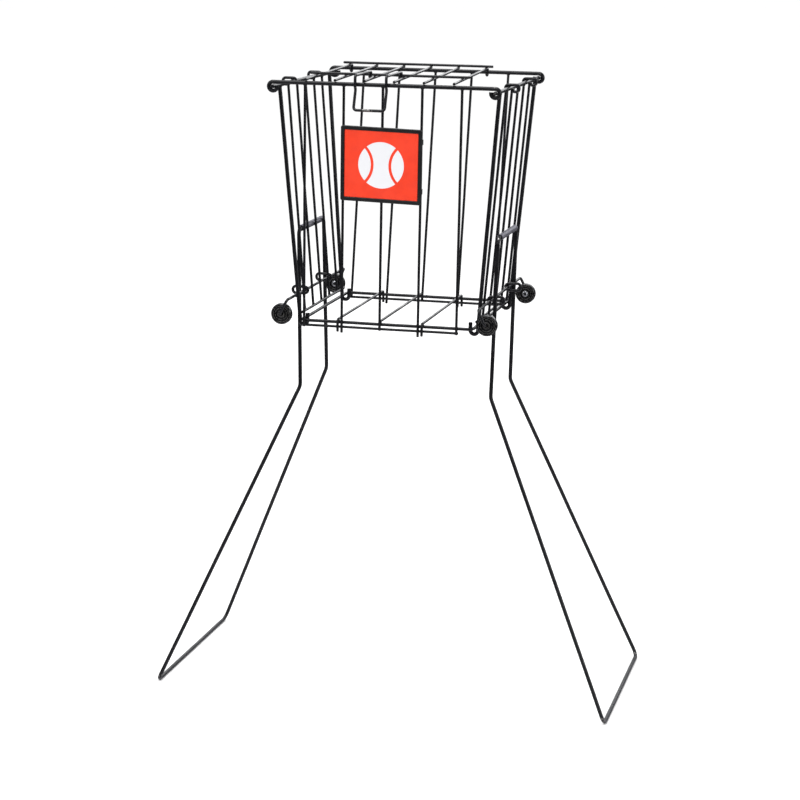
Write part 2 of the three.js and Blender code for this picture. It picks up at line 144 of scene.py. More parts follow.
def noiseNode(tree, vector, scale, texture):  # texture is (detail, roughness)
    return addNode(tree, "ShaderNodeTexNoise", None, Vector=vector, Scale=scale,
                   Detail=texture[0], Roughness=texture[1]).outputs["Fac"]


def placeOn(tree):
    return addNode(tree, "ShaderNodeTexCoord").outputs["Object"]


# Shader groups: effects that several finishes share

effects = {  # a noise is (detail, roughness), a range is where a mask starts and where it is full
    "peelNoise": (1.0, 0.5), "runNoise": (3.0, 0.5), "toneRange": (0.3, 0.7),
    "facingRange": (0.35, 1.0), "dustNoise": (5.0, 0.65), "patchRange": (0.38, 0.72),
    "chipNoise": (4.0, 0.6), "rubShare": 0.5, "wornOver": 0.32, "wornEdge": 0.05,
    "smearNoise": (4.0, 0.6), "smearRange": (0.35, 0.7),
    "scratchNoise": (2.0, 0.5), "scratchRange": (0.66, 0.72),
    "scratchTurn": (0.5, 0.8, 0.3), "scratchStretch": (1.0, 1.0, 0.06),
}


def newGroup(name, inputs, outputs):
    group = bpy.data.node_groups.new(name, "ShaderNodeTree")
    for label, value in inputs.items():
        socket = group.interface.new_socket(label, in_out="INPUT", socket_type="NodeSocketFloat")
        socket.default_value = value
    for label in outputs:
        group.interface.new_socket(label, in_out="OUTPUT", socket_type="NodeSocketFloat")
    return group, group.nodes.new("NodeGroupInput").outputs, group.nodes.new("NodeGroupOutput")


def makeOrangePeel():  # the fine dimples of a cured powder coat, over slow thick and thin runs
    group, given, result = newGroup("orangePeel", {"Peel": 900.0, "Runs": 60.0, "Share": 0.35},
                                    ("Height", "Tone"))
    place = placeOn(group)
    fine = noiseNode(group, place, given["Peel"], effects["peelNoise"])
    slow = noiseNode(group, place, given["Runs"], effects["runNoise"])
    plug(group, result, Height=plus(group, fine, times(group, slow, given["Share"])),
         Tone=mapNode(group, slow, *effects["toneRange"]))
    return group


def makeSettledDust():  # faint pale dust, on what faces up
    group, given, result = newGroup("settledDust", {"Amount": 0.2, "Scale": 90.0}, ("Mask",))
    normal = addNode(group, "ShaderNodeNewGeometry").outputs["Normal"]
    lift = addNode(group, "ShaderNodeSeparateXYZ", None, Vector=normal).outputs["Z"]
    facing = mapNode(group, lift, *effects["facingRange"])
    clouds = noiseNode(group, placeOn(group), given["Scale"], effects["dustNoise"])
    mask = times(group, facing, mapNode(group, clouds, *effects["patchRange"]))
    plug(group, result, Mask=times(group, mask, given["Amount"]))
    return group


def makeRubWearAndHighlight():  # where a finish is worn through, and on the wheels also where a highlight is painted: Rub says how hard a spot is rubbed, and on the wheels how strong the painted highlight is
    group, given, result = newGroup("rubWearAndHighlight", {"Rub": 0.0, "Scale": 500.0, "Hold": 0.55},
                                    ("Worn", "Polish"))
    chips = noiseNode(group, placeOn(group), given["Scale"], effects["chipNoise"])
    reach = plus(group, times(group, given["Rub"], effects["rubShare"]), chips)
    edge = plus(group, given["Hold"], effects["wornOver"])
    plug(group, result, Worn=mapNode(group, reach, edge, plus(group, edge, effects["wornEdge"])),
         Polish=mapNode(group, reach, given["Hold"], edge))
    return group


def makeHandling():  # smears and hairline scratches that break up the gloss
    group, given, result = newGroup("handling", {"Smear": 35.0, "Scratch": 260.0},
                                    ("Smears", "Scratches"))
    place = placeOn(group)
    smears = noiseNode(group, place, given["Smear"], effects["smearNoise"])
    squeezed = addNode(group, "ShaderNodeMapping", None, Vector=place, Rotation=effects["scratchTurn"],
                       Scale=effects["scratchStretch"]).outputs["Vector"]
    lines = noiseNode(group, squeezed, given["Scratch"], effects["scratchNoise"])
    plug(group, result, Smears=mapNode(group, smears, *effects["smearRange"]),
         Scratches=mapNode(group, lines, *effects["scratchRange"]))
    return group


groups = {
    "peel": makeOrangePeel(),
    "dust": makeSettledDust(),
    "wearAndHighlight": makeRubWearAndHighlight(),
    "handling": makeHandling(),
}


def useGroup(tree, name, **values):
    node = tree.nodes.new("ShaderNodeGroup")
    node.node_tree = groups[name]
    for key, value in values.items():
        feed(tree, node.inputs[key], value)
    return node.outputs


# Finishes

ownSockets = {  # what is the same all over a surface is set on the shader itself
    "specular": "Specular IOR Level", "coat": "Coat Weight", "coatRoughness": "Coat Roughness",
    "metallic": "Metallic", "roughness": "Roughness",
}


def newMaterial(name, look):
    material = bpy.data.materials.new(name)
    material.use_nodes = True
    shader = material.node_tree.nodes["Principled BSDF"]
    for key, socket in ownSockets.items():
        if key in look:
            shader.inputs[socket].default_value = look[key]
    return material, material.node_tree, shader


def bumpInto(tree, shader, height, look):
    bump = addNode(tree, "ShaderNodeBump", None, Height=height, Strength=look["bump"],
                   Distance=look["bumpDepth"])
    plug(tree, shader, Normal=bump.outputs["Normal"])


# the rub attribute: real wear on the wires, and on the wheels also a painted highlight
def rubbedAndHighlit(tree):
    return addNode(tree, "ShaderNodeAttribute", {"attribute_name": "rubAndHighlight"}).outputs["Fac"]


def cloudyBloom(tree, place, look):
    clouds = noiseNode(tree, place, look["bloom"], look["bloomNoise"])
    return mapNode(tree, clouds, *look["bloomRange"])


def coatedWire(name, look):  # black powder coat over drawn steel wire
    material, tree, shader = newMaterial(name, look)
    peel = useGroup(tree, "peel", Peel=look["peel"], Runs=look["runs"])
    dust = useGroup(tree, "dust", Amount=look["dust"], Scale=look["dustScale"])["Mask"]
    worn = useGroup(tree, "wearAndHighlight", Rub=rubbedAndHighlit(tree), Hold=look["hold"])["Worn"]
    marks = useGroup(tree, "handling", Smear=look["smear"])
    coat = mixColor(tree, peel["Tone"], look["dark"], look["light"])
    dusty = mixColor(tree, dust, coat, look["dustColor"])
    rough = plus(tree, spread(tree, marks["Smears"], look["gloss"]),
                 times(tree, marks["Scratches"], look["scratchRough"]))
    plug(tree, shader, Base_Color=mixColor(tree, worn, dusty, look["steel"]), Metallic=worn,
         Roughness=plus(tree, rough, times(tree, dust, look["dustRough"]), True))
    bumpInto(tree, shader, peel["Height"], look)
    return material


frameCoat = {
    "dark": (0.003, 0.003, 0.004, 1), "light": (0.0065, 0.0065, 0.0085, 1),
    "steel": (0.3, 0.29, 0.28, 1), "dustColor": (0.16, 0.155, 0.15, 1),
    "coat": 0.22, "coatRoughness": 0.14, "specular": 0.32,
    "gloss": (0.24, 0.38), "scratchRough": 0.12, "dustRough": 0.4,
    "peel": 850.0, "runs": 55.0, "smear": 30.0, "dust": 0.05, "dustScale": 110.0,
    "hold": 0.58, "bump": 0.3, "bumpDepth": 0.0002,
}
gridCoat = dict(frameCoat, dark=(0.0035, 0.0035, 0.0045, 1), light=(0.0075, 0.0075, 0.0095, 1),
                peel=1100.0, coat=0.3, coatRoughness=0.12, gloss=(0.22, 0.36), dust=0.06)


def zincTube(name, look):  # plated sleeve: pale grey, with a cloudy bloom and fine lines round it
    material, tree, shader = newMaterial(name, look)
    place = placeOn(tree)
    bloom = cloudyBloom(tree, place, look)
    turned = addNode(tree, "ShaderNodeMapping", None, Vector=place, Scale=look["lineStretch"])
    lines = noiseNode(tree, turned.outputs["Vector"], look["lines"], look["lineNoise"])
    scratches = useGroup(tree, "handling", Scratch=look["scratch"])["Scratches"]
    worn = times(tree, scratches, look["scratchLoss"])
    plug(tree, shader, Base_Color=mixColor(tree, bloom, look["grey"], look["pale"]),
         Metallic=mathNode(tree, "SUBTRACT", look["metal"], worn),
         Roughness=spread(tree, bloom, look["rough"]))
    bumpInto(tree, shader, plus(tree, lines, times(tree, bloom, look["bloomHeight"])), look)
    return material


sleeveZinc = {
    "pale": (0.275, 0.268, 0.308, 1), "grey": (0.176, 0.176, 0.206, 1), "rough": (0.4, 0.55),
    "bloom": 140.0, "bloomNoise": (5.0, 0.65), "bloomRange": (0.32, 0.68), "bloomHeight": 0.4,
    "lines": 2600.0, "lineNoise": (2.0, 0.5), "lineStretch": (0.05, 1.0, 0.05),
    "scratch": 500.0, "scratchLoss": 0.1, "metal": 0.85, "bump": 0.35, "bumpDepth": 0.00015,
}


def mouldedPlastic(name, look):
    material, tree, shader = newMaterial(name, look)
    peel = useGroup(tree, "peel", Peel=look["grain"], Runs=look["flow"], Share=look["flowShare"])
    dust = useGroup(tree, "dust", Amount=look["dust"], Scale=look["dustScale"])
    wearAndHighlight = useGroup(tree, "wearAndHighlight", Rub=rubbedAndHighlit(tree), Scale=look["wearScale"], Hold=look["hold"])
    smears = useGroup(tree, "handling", Smear=look["smear"])["Smears"]
    body = mixColor(tree, peel["Tone"], look["dark"], look["light"])
    # the pale scuff colour is real wear, and on the wheels' ridge tops and tread it is also a painted
    # highlight
    scuffedAndHighlit = mixColor(tree, wearAndHighlight["Worn"], body, look["scuffAndHighlight"])
    dull = times(tree, wearAndHighlight["Polish"], look["dull"])
    plug(tree, shader, Base_Color=mixColor(tree, dust["Mask"], scuffedAndHighlit, look["dustColor"]),
         Roughness=plus(tree, spread(tree, smears, look["gloss"]), dull, True))
    bumpInto(tree, shader, peel["Height"], look)
    return material


wheelPlastic = {
    "dark": (0.0015, 0.0015, 0.0018, 1), "light": (0.003, 0.003, 0.0035, 1),
    # scuff: real scuffs, and on the wheels' ridge tops and tread also a painted highlight
    "scuffAndHighlight": (0.05, 0.048, 0.046, 1), "dustColor": (0.16, 0.155, 0.15, 1),
    "grain": 1500.0, "flow": 120.0, "flowShare": 0.25, "dust": 0.03, "dustScale": 150.0,
    "wearScale": 900.0, "hold": 0.56, "smear": 60.0,
    "gloss": (0.08, 0.17), "dull": 0.14, "specular": 0.56, "bump": 0.1, "bumpDepth": 0.0001,
}
badgePlastic = dict(wheelPlastic, dark=(0.0042, 0.0045, 0.005, 1), light=(0.0072, 0.0076, 0.0084, 1),
                    grain=2400.0, gloss=(0.32, 0.44), hold=0.62, bump=0.45, specular=0.8, dust=0.05)


def springSteel(name, look):
    material, tree, shader = newMaterial(name, look)
    bloom = cloudyBloom(tree, placeOn(tree), look)
    smears = useGroup(tree, "handling", Smear=look["smear"])["Smears"]
    plug(tree, shader, Base_Color=mixColor(tree, bloom, look["grey"], look["pale"]),
         Roughness=spread(tree, smears, look["rough"]))
    bumpInto(tree, shader, bloom, look)
    return material


nutSteel = {
    "pale": (0.6, 0.61, 0.63, 1), "grey": (0.42, 0.43, 0.45, 1), "rough": (0.2, 0.38), "metallic": 0.95,
    "bloom": 900.0, "bloomNoise": (4.0, 0.6), "bloomRange": (0.35, 0.65),
    "smear": 300.0, "bump": 0.2, "bumpDepth": 0.0001,
}


def printedPlate(name, look):
    material, tree, shader = newMaterial(name, look)
    place = addNode(tree, "ShaderNodeUVMap", {"uv_map": "plate"}).outputs["UV"]
    soft = look["soft"]

    def distanceTo(x):
        return addNode(tree, "ShaderNodeVectorMath", {"operation": "DISTANCE"}, in0=place,
                       in1=(x, 0.0, 0.0)).outputs["Value"]

    disc = mapNode(tree, distanceTo(0.0), look["radius"] + soft, look["radius"] - soft)
    for side in (-1, 1):
        reach = distanceTo(side * look["seamOffset"])
        away = mathNode(tree, "ABSOLUTE", mathNode(tree, "SUBTRACT", reach, look["seamRadius"]))
        disc = times(tree, disc, mapNode(tree, away, look["seamHalf"] - soft, look["seamHalf"] + soft))
    peel = useGroup(tree, "peel", Peel=look["peel"], Runs=look["runs"], Share=look["runShare"])
    marks = useGroup(tree, "handling", Smear=look["smear"], Scratch=look["scratch"])
    dust = useGroup(tree, "dust", Amount=look["dust"], Scale=look["dustScale"])["Mask"]
    signed = mixColor(tree, disc, mixColor(tree, peel["Tone"], look["red"], look["deepRed"]), look["white"])
    bare = mathNode(tree, "GREATER_THAN", distanceTo(0.0), look["unprinted"] / 2)
    plate = mixColor(tree, bare, signed, look["back"])
    plug(tree, shader, Base_Color=mixColor(tree, dust, plate, look["dustColor"]),
         Roughness=plus(tree, spread(tree, marks["Smears"], look["gloss"]),
                        times(tree, marks["Scratches"], look["scratchRough"])))
    bumpInto(tree, shader, plus(tree, times(tree, peel["Height"], look["peelHeight"]), disc), look)
    return material


badgePrint = {
    "red": (0.72, 0.032, 0.003, 1), "deepRed": (0.66, 0.027, 0.0025, 1), "white": (0.62, 0.622, 0.645, 1),
    "back": (0.3, 0.3, 0.31, 1), "dustColor": (0.6, 0.58, 0.55, 1),
    "specular": 0.35, "coat": 0.12, "coatRoughness": 0.3, "gloss": (0.38, 0.52),
    "peel": 1800.0, "runs": 70.0, "runShare": 0.2, "peelHeight": 0.4, "bump": 0.2, "bumpDepth": 0.00008,
    "smear": 45.0, "scratch": 420.0, "scratchRough": 0.1, "dust": 0.06, "dustScale": 130.0,
    # the plain ball sign, in millimetres from the plate's middle
    "radius": 31, "seamRadius": 33, "seamOffset": 45, "seamHalf": 1.9, "soft": 0.12,
    "unprinted": 200,  # where the sides and the back of the plate are put on the sign's map
}
finishes = {
    "frame_wire": coatedWire("frameCoat", frameCoat),
    "grid_wire": coatedWire("gridCoat", gridCoat),
    "pivot_sleeve": zincTube("sleeveZinc", sleeveZinc),
    "wheel": mouldedPlastic("wheelPlastic", wheelPlastic),
    "push_nut": springSteel("nutSteel", nutSteel),
    "badge_frame": mouldedPlastic("badgePlastic", badgePlastic),
    "badge_plate": printedPlate("badgePrint", badgePrint),
}
print("finishes made:", len(finishes))


# Wire work

bendStep = math.radians(7)  # the largest turn between two stations of a bend


def at(x, y, z):
    return Vector((x, y, z))


def pairAlong(x, y, z):  # a point in front and its twin behind
    return [at(x, face * y, z) for face in (-1, 1)]


def arcFrom(start, centre, axis, angle, steps):
    turns = (Matrix.Rotation(angle * step / steps, 3, axis) for step in range(steps + 1))
    return [centre + turn @ (start - centre) for turn in turns]


def cornerTurn(before, point, after):
    back, ahead = (before - point).normalized(), (after - point).normalized()
    return back, back.cross(ahead).normalized(), math.pi - back.angle(ahead)


def bendAt(before, point, after, radius):
    back, axis, turn = cornerTurn(before, point, after)
    first = point + back * radius * math.tan(turn / 2)
    steps = max(2, math.ceil(turn / bendStep))
    return arcFrom(first, first + axis.cross(back) * radius, axis, -turn, steps)


def bentLine(corners):  # corners are points, or (point, bend radius)
    corners = [corner if isinstance(corner, tuple) else (corner, 0) for corner in corners]
    line = []
    for index, (point, radius) in enumerate(corners):
        if radius:
            line += bendAt(corners[index - 1][0], point, corners[index + 1][0], radius)
        else:
            line.append(point)
    return line


def curl(start, centre, axis, degrees):
    angle = math.radians(degrees)
    return arcFrom(start, centre, axis, angle, math.ceil(abs(angle) / bendStep))


wireMake = {
    "sides": 22,
    "stride": 9,  # between stations of a straight run
    "sway": 0.22,  # how far a drawn and straightened wire wanders
    "swayScale": 0.011,
    "swayRise": 20,  # from a wire's end to where it wanders in full
    "capShare": 0.4,  # of the wire's radius, rounded off at a cut end
    "capSteps": 4,
}
weldMake = {"subdivisions": 3, "rough": 0.16, "roughScale": 1.7}
noise.seed_set(11)  # the same wander on every run


def spaced(line):
    points = [line[0]]
    for end in line[1:]:
        start = points[-1]
        count = max(1, round((end - start).length / wireMake["stride"]))
        points += [start.lerp(end, step / count) for step in range(1, count + 1)]
    return points


def swayed(points, sway):
    moved = []
    for point in points:
        ease = min([1] + [(point - end).length / wireMake["swayRise"] for end in (points[0], points[-1])])
        moved.append(point + noise.noise_vector(point * wireMake["swayScale"]) * sway * ease)
    return moved


def roundAngles(count):
    return [2 * math.pi * index / count for index in range(count)]


def quarterAngles(steps):
    return [math.pi / 2 * step / steps for step in range(steps + 1)]


def ringAt(bm, centre, sideways, over, radius):
    return [bm.verts.new((centre + (sideways * math.cos(angle) + over * math.sin(angle)) * radius) * mm)
            for angle in roundAngles(wireMake["sides"])]


def bridge(bm, one, two, smooth=True):
    for side in range(len(one)):
        after = (side + 1) % len(one)
        bm.faces.new((one[side], one[after], two[after], two[side])).smooth = smooth


def capEnd(bm, ring, station, outward, radius, cap, flipped):
    centre, sideways, over = station
    for angle in quarterAngles(wireMake["capSteps"])[1:]:
        outer = radius - cap * (1 - math.cos(angle))
        further = ringAt(bm, centre + outward * cap * math.sin(angle), sideways, over, outer)
        bridge(bm, *((further, ring) if flipped else (ring, further)))
        ring = further
    bm.faces.new(ring[::-1] if flipped else ring)


def drawWire(bm, line, radius, closed=False, sway=wireMake["sway"]):
    points = swayed(spaced(line + line[:1] if closed else line), sway)
    cap = radius * wireMake["capShare"]
    if closed:
        points.pop()
        around = points[-1:] + points + points[:1]
    else:  # a cut end keeps its length: its rounding is taken out of it
        for end, inward in ((0, 1), (-1, -2)):
            points[end] = points[end] + (points[inward] - points[end]).normalized() * cap
        around = points[:1] + points + points[-1:]
    tangents = [(after - before).normalized() for before, after in zip(around, around[2:])]
    sideways = tangents[0].orthogonal().normalized()
    stations = []
    for index, point in enumerate(points):
        if index:
            sideways = tangents[index - 1].rotation_difference(tangents[index]) @ sideways
        stations.append((point, sideways, tangents[index].cross(sideways)))
    if closed:  # the twist that a loop leaves over is spread along it
        end = tangents[-1].rotation_difference(tangents[0]) @ sideways
        twist = math.atan2(end.dot(stations[0][2]), end.dot(stations[0][1]))
        for index, (point, side, over) in enumerate(stations):
            turn = Matrix.Rotation(-twist * index / len(points), 3, tangents[index])
            stations[index] = (point, turn @ side, turn @ over)
    drawn = [ringAt(bm, *station, radius) for station in stations]
    for one, two in zip(drawn, drawn[1:] + (drawn[:1] if closed else [])):
        bridge(bm, one, two)
    if not closed:
        capEnd(bm, drawn[-1], stations[-1], tangents[-1], radius, cap, False)
        capEnd(bm, drawn[0], stations[0], -tangents[0], radius, cap, True)


def weldNugget(bm, place, first, second, size):  # the bead where two wires are fused
    normal = first.cross(second).normalized()
    turn = Matrix((first, normal.cross(first).normalized(), normal)).transposed()
    made = bmesh.ops.create_icosphere(bm, subdivisions=weldMake["subdivisions"], radius=1)["verts"]
    for vert in made:
        rough = 1 + weldMake["rough"] * noise.noise(vert.co * weldMake["roughScale"] + place)
        local = at(vert.co.x * size[0], vert.co.y * size[1], vert.co.z * size[2]) * rough
        vert.co = (place + turn @ local) * mm
    for face in {face for vert in made for face in vert.link_faces}:
        face.smooth = True


def newPiece(name, bm, body, slot, nodes, rubSpots=()):  # rubSpots are (point, reach)
    bmesh.ops.recalc_face_normals(bm, faces=bm.faces)
    mesh = bpy.data.meshes.new(name)
    bm.to_mesh(mesh)
    bm.free()
    # the rub attribute holds how hard each spot is rubbed; the wheels also write a painted highlight into
    # it
    rubAndHighlight = mesh.attributes.new("rubAndHighlight", "FLOAT", "POINT")
    for vert in mesh.vertices:
        near = [1 - (vert.co / mm - spot).length / reach for spot, reach in rubSpots]
        rubAndHighlight.data[vert.index].value = max([0.0] + near)
    mesh.materials.append(finishes[slot])
    piece = bpy.data.objects.new(name, mesh)
    bpy.context.scene.collection.objects.link(piece)
    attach(piece, body)
    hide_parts(*nodes)
    return piece


# The basket's sizes

wires = {"frame": 2.7, "grid": 1.8, "ring": 2.2, "hook": 2, "carrier": 2, "latch": 1.9}  # radii
gaps = {"seat": 0.3, "turn": 0.45, "eye": 0.2, "weld": 0.3}
heavy, grid, seat = wires["frame"], wires["grid"], gaps["seat"]
basket = {
    "rimX": 150, "ringHalf": 119, "ringZ": 527,
    "endShift": -8,  # how far the feet of the end panels sit to the left
}
rimX, ringHalf, ringZ, endShift = (basket[key] for key in ("rimX", "ringHalf", "ringZ", "endShift"))
rimY, railZ = lidPivot.y, lidPivot.z
sideRailZ = railZ - (2 * heavy + gaps["turn"])
hookRadius = heavy + seat + wires["ring"]
sideFoot = ringHalf + hookRadius
frontFoot = ringHalf + wires["ring"] + seat + grid


def between(low, high, share):
    return low + (high - low) * share


def shareUp(z, top):
    return (z - ringZ) / (top - ringZ)


def sideAt(z):
    return between(sideFoot, rimX, shareUp(z, sideRailZ))


def frontAt(z):
    return between(frontFoot, rimY, shareUp(z, railZ))


def endShiftAt(z):
    return endShift * (1 - shareUp(z, railZ))


sideLean = math.atan2(rimX - sideFoot, sideRailZ - ringZ)
frontLean = math.atan2(rimY - frontFoot, railZ - ringZ)
endLean = math.atan2(-endShift * math.cos(frontLean), railZ - ringZ)


# Front and rear panels

endMake = {
    "uprights": 5, "pitch": 53, "tail": 7.5, "footDrop": 2, "eyeSweep": 290, "rubReach": 9,
    "welds": ((2.5, 2.4, 1.2), (2.3, 2.0, 1.1)),  # on the top rail, on the foot rail
}


def addUpright(bm, line, radius, contact, rail, over, welds):  # fused to a top rail and a foot rail
    drawWire(bm, line, radius)
    run = (line[1] - line[0]).normalized()
    weldNugget(bm, line[0] + run * heavy, rail, over, welds[0])
    weldNugget(bm, contact, rail, run, welds[1])
    return run


def makeEndPanel(name, face):
    bm = bmesh.new()
    y = face * rimY
    eye = curl(at(rimX, y, railZ), at(rimX, y, sideRailZ), along, endMake["eyeSweep"])
    mirrored = [at(-point.x, point.y, point.z) for point in reversed(eye)]
    drawWire(bm, mirrored + eye, heavy, sway=0)  # straight, because the lid turns on it
    footZ = ringZ - wires["ring"] - seat - grid - endMake["footDrop"]
    footY = frontAt(footZ) - 2 * grid + gaps["weld"]
    half = (endMake["uprights"] - 1) // 2
    for index in range(-half, half + 1):
        x = index * endMake["pitch"]
        end = footZ - (endMake["tail"] if index % 2 else grid)
        line = [at(x, y, railZ), at(x + endShiftAt(end), face * frontAt(end), end)]
        contact = at(x + endShiftAt(footZ), face * (footY + grid), footZ)
        addUpright(bm, line, grid, contact, across, along, endMake["welds"])
    footHalf = half * endMake["pitch"] + grid
    drawWire(bm, [at(endShift + side * footHalf, face * footY, footZ) for side in (-1, 1)], grid)
    spots = [(at(side * rimX, y, railZ), endMake["rubReach"]) for side in (-1, 1)]
    newPiece(name + "_wires", bm, "basket", "frame_wire", [name], spots)


makeEndPanel("front_panel", -1)
makeEndPanel("rear_panel", 1)


# Side panels

sideMake = {
    "uprights": 5, "pitch": 41, "cornerTop": 122, "cornerFoot": 107, "railEndOver": 1.6,
    "hookDrop": 3, "tipRise": 8, "footRise": 8.5, "rubReach": 7,
    "welds": ((2.5, 2.4, 1.2), (2.3, 2.0, 1.1)), "cornerWelds": ((3.3, 3.2, 1.4), (2.3, 2.0, 1.1)),
    "sleeveWeld": (1.9, 1.9, 1.0),
}


def makeSidePanel(name, side):
    bm = bmesh.new()
    railEnds = pairAlong(side * rimX, rimY + heavy + sideMake["railEndOver"], sideRailZ)
    drawWire(bm, railEnds, heavy)
    footZ = ringZ + sideMake["footRise"]
    footX = sideAt(footZ) - 2 * grid + gaps["weld"]
    weldX = side * (footX + grid)
    sleeveX = side * (sideAt(legPivot.z) + grid / math.cos(sideLean))
    end, half = footZ - grid, (sideMake["uprights"] - 1) // 2
    for index in range(-half, half + 1):
        y = index * sideMake["pitch"]
        line = [at(side * rimX, y, sideRailZ), at(side * sideAt(end), y, end)]
        run = addUpright(bm, line, grid, at(weldX, y, footZ), along, across, sideMake["welds"])
        if abs(index) < half:  # these uprights carry the pivot sleeve
            weldNugget(bm, at(sleeveX, y, legPivot.z), along, run, sideMake["sleeveWeld"])
    for face in (-1, 1):
        y = face * sideMake["cornerFoot"]
        foot = at(side * sideFoot, y, ringZ)
        sunk = foot - upward * sideMake["hookDrop"]
        hook = curl(sunk, at(side * ringHalf, y, sunk.z), along, side * halfTurn)
        tip = at(side * (ringHalf - hookRadius), y, ringZ + sideMake["tipRise"])
        line = [at(side * rimX, face * sideMake["cornerTop"], sideRailZ), foot] + hook + [tip]
        addUpright(bm, line, heavy, at(weldX, y, footZ), along, across, sideMake["cornerWelds"])
    drawWire(bm, pairAlong(side * footX, sideMake["cornerFoot"], footZ), grid)
    spots = [(end, sideMake["rubReach"]) for end in railEnds]
    newPiece(name + "_wires", bm, "basket", "frame_wire", [name], spots)


makeSidePanel("left_side_panel", -1)
makeSidePanel("right_side_panel", 1)
print("panels made")


# Ring and rods under the basket

ringMake = {"corner": 9, "seamWeld": (1.6, 2.65, 2.65)}


def makeRing():
    bm = bmesh.new()
    turns = [at(x * ringHalf, y * ringHalf, ringZ) for x, y in ((-1, 1), (-1, -1), (1, -1), (1, 1))]
    line = []
    for index, point in enumerate(turns):
        line += bendAt(turns[index - 1], point, turns[(index + 1) % len(turns)], ringMake["corner"])
    drawWire(bm, line, wires["ring"], closed=True)
    weldNugget(bm, at(0, ringHalf, ringZ), across, along, ringMake["seamWeld"])
    newPiece("bottom_ring_wire", bm, "basket", "frame_wire", ["bottom_ring"])


rodMake = {"pitch": 58.5, "tailDrop": 12.5, "bend": 4, "weld": (2.2, 2.2, 1.0), "rubReach": 70}


def makeRod(name, index):
    bm = bmesh.new()
    x, z = endShift + index * rodMake["pitch"], ringZ + wires["ring"] + seat + grid
    line = pairAlong(x, ringHalf, z)
    if index:  # the outer rods drop their ends in front and behind
        reach = frontAt(ringZ) + gaps["weld"] + seat
        tails = pairAlong(x, reach, ringZ - rodMake["tailDrop"])
        corners = [(point, rodMake["bend"]) for point in pairAlong(x, reach, z)]
        line = bentLine(tails[:1] + corners + tails[1:])
    drawWire(bm, line, grid)
    for contact in pairAlong(x, ringHalf, z - grid):
        weldNugget(bm, contact, along, across, rodMake["weld"])
    newPiece(name + "_wire", bm, "basket", "grid_wire", [name], [(at(x, 0, z), rodMake["rubReach"])])


makeRing()
for name, index in (("bottom_rod_left", -1), ("bottom_rod_middle", 0), ("bottom_rod_right", 1)):
    makeRod(name, index)
print("ring and rods made")


# Legs and their sleeves

legMake = {
    "pivotReach": 62, "bendHeight": 424, "bendSpread": 135.6, "bendReach": 67,
    "footSpread": 318.85, "footReach": 151, "footHeight": 2.9, "topBend": 8, "kneeBend": 18,
    "footBend": 9, "endGap": 1, "pivotRub": 12, "footRub": 26,
}


def makeLeg(name, side, body):
    bm = bmesh.new()
    spread, z = side * legPivot.x, legPivot.z
    knee, foot = side * legMake["bendSpread"], side * legMake["footSpread"]

    def half(face):
        return [
            at(spread, face * legMake["endGap"] / 2, z),
            (at(spread, face * legMake["pivotReach"], z), legMake["topBend"]),
            (at(knee, face * legMake["bendReach"], legMake["bendHeight"]), legMake["kneeBend"]),
            (at(foot, face * legMake["footReach"], legMake["footHeight"]), legMake["footBend"]),
        ]

    front, rear = half(-1), half(1)
    drawWire(bm, bentLine(front + rear[::-1]), heavy)
    spots = [(corners[index][0], legMake[rubAndHighlight]) for corners in (front, rear)
             for index, rubAndHighlight in ((1, "pivotRub"), (3, "footRub"))]
    newPiece(name + "_wire", bm, body, "frame_wire", [name], spots)


sleeveMake = {"wall": 1.15, "length": 104, "round": 0.35, "sides": 48}
filletMake = {"steps": 4, "most": 0.45}  # most: the share of a side that one rounding may take


def filletedProfile(corners, radius):  # a closed outline in (r, h) with each corner rounded
    points = []
    flat = [at(r, h, 0) for r, h in corners]
    for index, point in enumerate(flat):
        before, after = flat[index - 1], flat[(index + 1) % len(flat)]
        back, axis, turn = cornerTurn(before, point, after)
        shorter = min((before - point).length, (after - point).length)
        reach = min(radius * math.tan(turn / 2), shorter * filletMake["most"])
        first = point + back * reach
        centre = first + axis.cross(back) * (reach / math.tan(turn / 2))
        points += arcFrom(first, centre, axis, -turn, filletMake["steps"])
    return [(point.x, point.y) for point in points]


def latheRing(bm, profile, centre, sides):  # turned about the Y axis through a point
    rings = []
    for angle in roundAngles(sides):
        sideways = at(math.cos(angle), 0, math.sin(angle))
        rings.append([bm.verts.new((centre + sideways * r + along * h) * mm) for r, h in profile])
    for one, two in zip(rings, rings[1:] + rings[:1]):
        bridge(bm, one, two)


def makeSleeve(name, side):
    bm = bmesh.new()
    inner, half = heavy + gaps["turn"], sleeveMake["length"] / 2
    outer = inner + sleeveMake["wall"]
    corners = [(inner, -half), (outer, -half), (outer, half), (inner, half)]
    profile = filletedProfile(corners, sleeveMake["round"])
    latheRing(bm, profile, at(side * legPivot.x, 0, legPivot.z), sleeveMake["sides"])
    newPiece(name + "_tube", bm, "basket", "pivot_sleeve", [name])


for sideName, side in (("left", -1), ("right", 1)):
    makeLeg(sideName + "_leg", side, "leg_" + sideName)
    makeSleeve(sideName + "_pivot_sleeve", side)
print("legs made")


# Catches under the pivots and hooks on the rails

catchMake = {
    "height": 558, "radius": 4.3, "loopRadius": 5, "reach": 12.5, "weld": (1.5, 1.8, 0.9), "rubReach": 8,
}
carrierAway = (heavy + seat + wires["carrier"]) / math.cos(sideLean)
carrierSpread = sideAt(catchMake["height"]) + carrierAway


def besideLegAt(z):  # where a hook stands against a leg's wire
    share = (z - legMake["bendHeight"]) / (legPivot.z - legMake["bendHeight"])
    return between(legMake["bendReach"], legMake["pivotReach"], share) - heavy - seat - wires["hook"]


